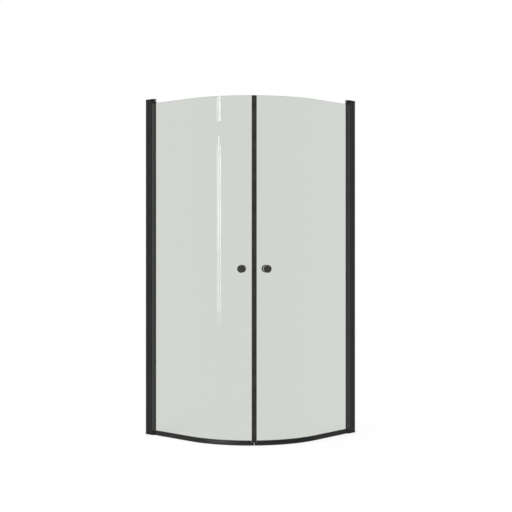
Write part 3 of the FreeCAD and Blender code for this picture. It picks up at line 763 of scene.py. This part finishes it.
def glazing_gasket():
    """Soft lining of the jaw, with a rounded lip on each side of the glass."""
    low, high = lowest("glazing_gasket_left"), highest("glazing_gasket_left")
    back, lip_end = low.x - PIVOT.x, high.x - PIVOT.x
    half, glass_half, lip_half = 4 * MM, 3 * MM, half_width("glazing_gasket_left")
    floor, lip_length, lip_round = 1 * MM, 1.2 * MM, 0.8 * MM
    lip_start = lip_end - lip_length
    side = [(back, half), (lip_start, half), (lip_start, lip_half)]
    side += arc(lip_end - lip_round, lip_half - lip_round, lip_round, start=90, end=0, steps=4)
    side += [(lip_end, glass_half), (back + floor, glass_half)]
    return prism([tube_points(whole_plan(side), low.z)], high.z - low.z)


class SHOWER_OT_add_seals(bpy.types.Operator):
    """Adds the seals under the rails, on the free edges and in the jaws"""
    bl_idname = "shower.add_seals"
    bl_label = "Add seals"

    def execute(self, context):
        sizes = context.scene.shower_sizes
        add_pair("bottom_seal", "floor_seal", lambda: bottom_seal(sizes))
        add_pair("edge_seal", "meeting_seal", lambda: edge_seal(sizes))
        add_pair("glazing_gasket", "jaw_lining", glazing_gasket)
        return {"FINISHED"}


def knob_place(sizes, out_sign):
    """Matrix from the z axis to the knobs' axis on the left door, from the middle of the glass.

    The sign is 1 for the way out of the shower and -1 for the way in.
    """
    direction = curve_direction(seam_turn(sizes, sizes.knob_gap))
    height = (lowest("knob_outer_left").z + highest("knob_outer_left").z) / 2
    middle = curve_axis(sizes) + direction * sizes.glass_radius + UP * height
    return Matrix.Translation(middle) @ (direction * out_sign).to_track_quat("Z", "Y").to_matrix().to_4x4()


def knob(sizes, out_sign, foot):
    """Conical knob with a straight rim, a rounded foot and a shallow dish in its rounded front.

    The foot is given as its distance from the middle of the glass.
    """
    length, bore, bore_depth = 33 * MM, 3.05 * MM, 16 * MM
    radius = (highest("knob_outer_left").z - lowest("knob_outer_left").z) / 2
    foot_radius, foot_round = 17 * MM, 0.8 * MM
    rim_length, shoulder_in, shoulder_length = 9 * MM, 0.5 * MM, 1.2 * MM
    dish_margin, dish_depth, dish_slope = 2.6 * MM, 0.25 * MM, 0.6 * MM
    dish = radius - dish_margin
    front, front_round = foot + length, sizes.knob_round
    rim = front - rim_length
    profile = [(0, foot + bore_depth), (bore, foot + bore_depth), (bore, foot)]
    profile += arc(foot_radius - foot_round, foot + foot_round, foot_round, start=-90, end=-20, steps=4)
    profile += [(radius - shoulder_in, rim - shoulder_length), (radius, rim)]
    profile += arc(radius - front_round, front - front_round, front_round, start=0, end=90, steps=6)
    profile += [(dish, front), (dish - dish_slope, front - dish_depth), (0, front - dish_depth)]
    body = turned(profile, steps=96)
    body.transform(knob_place(sizes, out_sign))
    return body


class SHOWER_OT_add_knobs(bpy.types.Operator):
    """Adds the round knobs on both faces of each door"""
    bl_idname = "shower.add_knobs"
    bl_label = "Add knobs"

    def execute(self, context):
        sizes = context.scene.shower_sizes
        add_pair("knob_outer", "outer_knob", lambda: knob(sizes, out_sign=1, foot=4.1 * MM))
        add_pair("knob_inner", "inner_knob", lambda: knob(sizes, out_sign=-1, foot=4.5 * MM))
        return {"FINISHED"}


def cap_screws():
    """Countersunk screws with hexagon sockets, two in each end cap."""
    low, high = lowest("cap_screws_left"), highest("cap_screws_left")
    head, shank, length, rim = (high.x - low.x) / 2, 1.65 * MM, 19 * MM, 0.2 * MM
    socket, socket_depth = 1.45 * MM, 1.4 * MM
    profile = [(0, 0), (head - rim, 0), (head - rim, rim), (shank, head - shank),
               (shank, length - shank / 2), (shank / 2, length), (0, length)]
    corners = [(x, y, -socket_depth) for x, y in arc(0, 0, socket, start=0, end=300, steps=5)]
    screws = drilled(turned(profile, steps=32), prism([corners], 2 * socket_depth))
    middle = (low + high) / 2
    corner = Vector((0, low.y + head - middle.y, low.z - middle.z))
    bmesh.ops.translate(screws, verts=screws.verts, vec=corner)
    for axis in "YZ":
        bmesh.ops.mirror(screws, geom=screws.verts[:] + screws.edges[:] + screws.faces[:], axis=axis)
    bmesh.ops.translate(screws, verts=screws.verts, vec=middle)
    bmesh.ops.recalc_face_normals(screws, faces=screws.faces)
    return screws


class SHOWER_OT_add_cap_screws(bpy.types.Operator):
    """Adds the screws that hold the end caps"""
    bl_idname = "shower.add_cap_screws"
    bl_label = "Add cap screws"

    def execute(self, context):
        add_pair("cap_screws", "socket_screws", cap_screws)
        return {"FINISHED"}


# Studio

def looking_rays(tree):
    """Number that is 1 for rays from the camera, off a mirror or through glass."""
    rays = tree.nodes.new("ShaderNodeLightPath")
    total = rays.outputs["Is Camera Ray"]
    for kind in ("Is Glossy Ray", "Is Transmission Ray"):
        either = tree.nodes.new("ShaderNodeMath")
        either.operation = "MAXIMUM"
        tree.links.new(total, either.inputs[0])
        tree.links.new(rays.outputs[kind], either.inputs[1])
        total = either.outputs[0]
    return total


def add_white_room(strength):
    """World that looks white and lights the doors evenly at a plain level."""
    world = bpy.data.worlds.new("white room")
    world.use_nodes = True
    tree = world.node_tree
    tree.nodes.clear()
    light, shown = (tree.nodes.new("ShaderNodeBackground") for _ in range(2))
    for background, level in ((light, strength), (shown, 1.0)):
        background.inputs["Color"].default_value = shade(WHITE, 1)
        background.inputs["Strength"].default_value = level
    mix = tree.nodes.new("ShaderNodeMixShader")
    tree.links.new(looking_rays(tree), mix.inputs[0])
    tree.links.new(light.outputs[0], mix.inputs[1])
    tree.links.new(shown.outputs[0], mix.inputs[2])
    tree.links.new(mix.outputs[0], tree.nodes.new("ShaderNodeOutputWorld").inputs["Surface"])
    bpy.context.scene.world = world


def floor_finish():
    """Pale paint with a glow that brings it up to white where no shadow falls."""
    paint_tone, glow_tone = 0.3, 0.71
    material = bpy.data.materials.new("pale floor")
    material.use_nodes = True
    tree = material.node_tree
    tree.nodes.clear()
    paint = tree.nodes.new("ShaderNodeBsdfDiffuse")
    paint.inputs["Color"].default_value = shade(WHITE, paint_tone)
    glow = tree.nodes.new("ShaderNodeEmission")
    glow.inputs["Color"].default_value = shade(WHITE, glow_tone)
    tree.links.new(looking_rays(tree), glow.inputs["Strength"])
    both = tree.nodes.new("ShaderNodeAddShader")
    tree.links.new(paint.outputs[0], both.inputs[0])
    tree.links.new(glow.outputs[0], both.inputs[1])
    tree.links.new(both.outputs[0], tree.nodes.new("ShaderNodeOutputMaterial").inputs["Surface"])
    return material


def add_floor():
    """Plain pale floor, just under the doors."""
    size, drop = 60.0, 0.2 * MM
    bm = bmesh.new()
    bmesh.ops.create_grid(bm, x_segments=1, y_segments=1, size=size / 2)
    bmesh.ops.translate(bm, verts=bm.verts, vec=(0, 0, -drop))
    floor = as_object("studio_floor", bm)
    floor.data.materials.append(floor_finish())


def add_lamp(name, place, target, width, height, power):
    """Rectangular lamp that faces a point."""
    lamp = bpy.data.lights.new(name, "AREA")
    lamp.shape = "RECTANGLE"
    lamp.size, lamp.size_y = width, height
    lamp.energy = power
    holder = add_object(name, lamp)
    holder.location = place
    holder.rotation_mode = "QUATERNION"
    holder.rotation_quaternion = (Vector(target) - Vector(place)).to_track_quat("-Z", "Y")
    return holder


def camera_place(studio):
    """Place of the camera, which looks level at the upright axis through the plan's middle."""
    level = curve_direction(studio.camera_turn) * studio.camera_distance
    return level + UP * studio.camera_height


def add_camera(studio):
    """Camera at the photo's viewing angle."""
    camera = bpy.data.cameras.new("studio camera")
    camera.lens = studio.focal_length
    camera.shift_x, camera.shift_y = studio.camera_shift
    holder = add_object("studio camera", camera)
    holder.location = camera_place(studio)
    holder.rotation_euler = (math.radians(90), 0, studio.camera_turn)
    bpy.context.scene.camera = holder


def highlight_path(sizes, studio, shift):
    """Place of the highlight on the left pane, the camera's line to it and the way to its lamp, all level.

    The shift turns the way to the lamp, in degrees, from the direction that the pane mirrors to the camera.
    """
    outward = curve_direction(studio.highlight_turn)
    glass = curve_axis(sizes) + outward * (sizes.glass_radius + half_width("glass_left"))
    sight = (glass - camera_place(studio)) * Vector((1, 1, 0))
    mirrored = sight.normalized().reflect(outward)
    mirrored.rotate(Matrix.Rotation(math.radians(shift), 3, "Z"))
    return glass, sight, mirrored


def add_strip_lamp(name, sizes, studio, seen, shift, spread, radiance):
    """Upright lamp that the camera sees mirrored in the left pane, from a low to a high place on it.

    The spread is its angle, in degrees, as seen from the pane. It can't be seen through the glass.
    """
    distance = studio.strip_distance
    glass, sight, mirrored = highlight_path(sizes, studio, shift)
    low, high = (z + (z - studio.camera_height) * distance / sight.length for z in seen)
    width, height = 2 * distance * math.tan(math.radians(spread / 2)), high - low
    target = glass + UP * (low + high) / 2
    lamp = add_lamp(name, target + mirrored * distance, target, width, height,
                    radiance * math.pi * width * height)
    lamp.visible_transmission = False


def add_strip_lamps(sizes, studio):
    """Soft bands with narrow bright tubes in them, which leave a broken highlight on the left pane.

    Heights are on the pane, in metres. The lines' places and the widths are in degrees.
    """
    top, split_high, split_low = 2.1, 1.834, 1.749
    neck_end, middle_end, low_end, foot = 1.692, 1.103, 0.76, 0.675
    left_line, right_line, thin, wide = -0.5, 2.85, 0.7, 6.6
    for name, seen, shift, spread, share in (
            ("high_band", (split_high, top), 0, wide, 1.0),
            ("high_tube", (split_high, top), 1.9, 1.0, 2.8),
            ("neck", (neck_end, split_low), 0.6, wide / 2, 0.8),
            ("neck_tube", (neck_end, split_low), left_line, thin, 2.1),
            ("middle_band", (middle_end, neck_end), 0, wide, 0.88),
            ("middle_tube_left", (middle_end, neck_end), left_line, thin, 2.1),
            ("middle_tube_right", (middle_end, neck_end), right_line, thin, 3.2),
            ("low_band", (low_end, middle_end), 0, wide, 0.5),
            ("low_tube_left", (low_end, middle_end), left_line, thin, 1.3),
            ("low_tube_right", (low_end, middle_end), right_line, thin, 1.9),
            ("tail", (foot, low_end), 0.6, wide, 0.25)):
        add_strip_lamp(name, sizes, studio, seen, shift, spread, share * studio.strip_radiance)


def add_rail_lamp(sizes, studio):
    """Low soft lamp for the rails alone, which leaves a sheen on the left one under the highlight."""
    width, height, middle = 0.4, 0.5, 0.35
    glass, _, mirrored = highlight_path(sizes, studio, shift=5)
    place = glass + mirrored * studio.strip_distance + UP * middle
    rail = glass + UP * highest("bottom_rail_left").z
    lamp = add_lamp("rail_lamp", place, rail, width, height, studio.rail_power)
    lit = bpy.data.collections.new("rails in the rail lamp")
    for side in SIDES:
        lit.objects.link(bpy.data.objects[f"curved_rail_{side}"])
    lamp.light_linking.receiver_collection = lit


def add_key_light(studio):
    """Even soft light from above the camera, which lights but isn't mirrored."""
    softness, lean, aside = math.radians(60), math.radians(42), math.radians(20)
    lamp = bpy.data.lights.new("key_light", "SUN")
    lamp.energy = studio.key_strength
    lamp.angle = softness
    holder = add_object("key_light", lamp)
    holder.rotation_euler = (lean, 0, studio.camera_turn - aside)
    holder.visible_glossy = False


class SHOWER_OT_set_stage(bpy.types.Operator):
    """Adds the floor, the light and the camera"""
    bl_idname = "shower.set_stage"
    bl_label = "Set the stage"

    def execute(self, context):
        sizes, studio = context.scene.shower_sizes, context.scene.shower_studio
        context.scene.view_settings.view_transform = "Standard"
        add_white_room(studio.room_light)
        add_floor()
        add_key_light(studio)
        add_strip_lamps(sizes, studio)
        add_rail_lamp(sizes, studio)
        add_camera(studio)
        return {"FINISHED"}


class SHOWER_PT_doors(bpy.types.Panel):
    """Lists the steps that build the doors"""
    bl_idname = "SHOWER_PT_doors"
    bl_label = "Curved shower doors"
    bl_space_type = "VIEW_3D"
    bl_region_type = "UI"
    bl_category = "Shower doors"

    def draw(self, context):
        for operator in OPERATORS:
            self.layout.operator(operator.bl_idname)


OPERATORS = (
    SHOWER_OT_make_finishes,
    SHOWER_OT_add_glass,
    SHOWER_OT_add_pivot_tubes,
    SHOWER_OT_add_rails,
    SHOWER_OT_add_seals,
    SHOWER_OT_add_knobs,
    SHOWER_OT_add_cap_screws,
    SHOWER_OT_set_stage,
)
GROUPS = (DoorSizes, DoorColours, StudioSettings)


def register():
    for cls in (*GROUPS, *OPERATORS, SHOWER_PT_doors):
        bpy.utils.register_class(cls)
    bpy.types.Scene.shower_sizes = PointerProperty(type=DoorSizes)
    bpy.types.Scene.shower_colours = PointerProperty(type=DoorColours)
    bpy.types.Scene.shower_studio = PointerProperty(type=StudioSettings)


def unregister():
    del bpy.types.Scene.shower_studio, bpy.types.Scene.shower_colours, bpy.types.Scene.shower_sizes
    for cls in (SHOWER_PT_doors, *reversed(OPERATORS), *reversed(GROUPS)):
        bpy.utils.unregister_class(cls)


def main():
    """Builds the doors and the studio."""
    register()
    bpy.ops.shower.make_finishes()
    bpy.ops.shower.add_glass()
    bpy.ops.shower.add_pivot_tubes()
    bpy.ops.shower.add_rails()
    bpy.ops.shower.add_seals()
    bpy.ops.shower.add_knobs()
    bpy.ops.shower.add_cap_screws()
    bpy.ops.shower.set_stage()


if __name__ == "__main__":
    main()
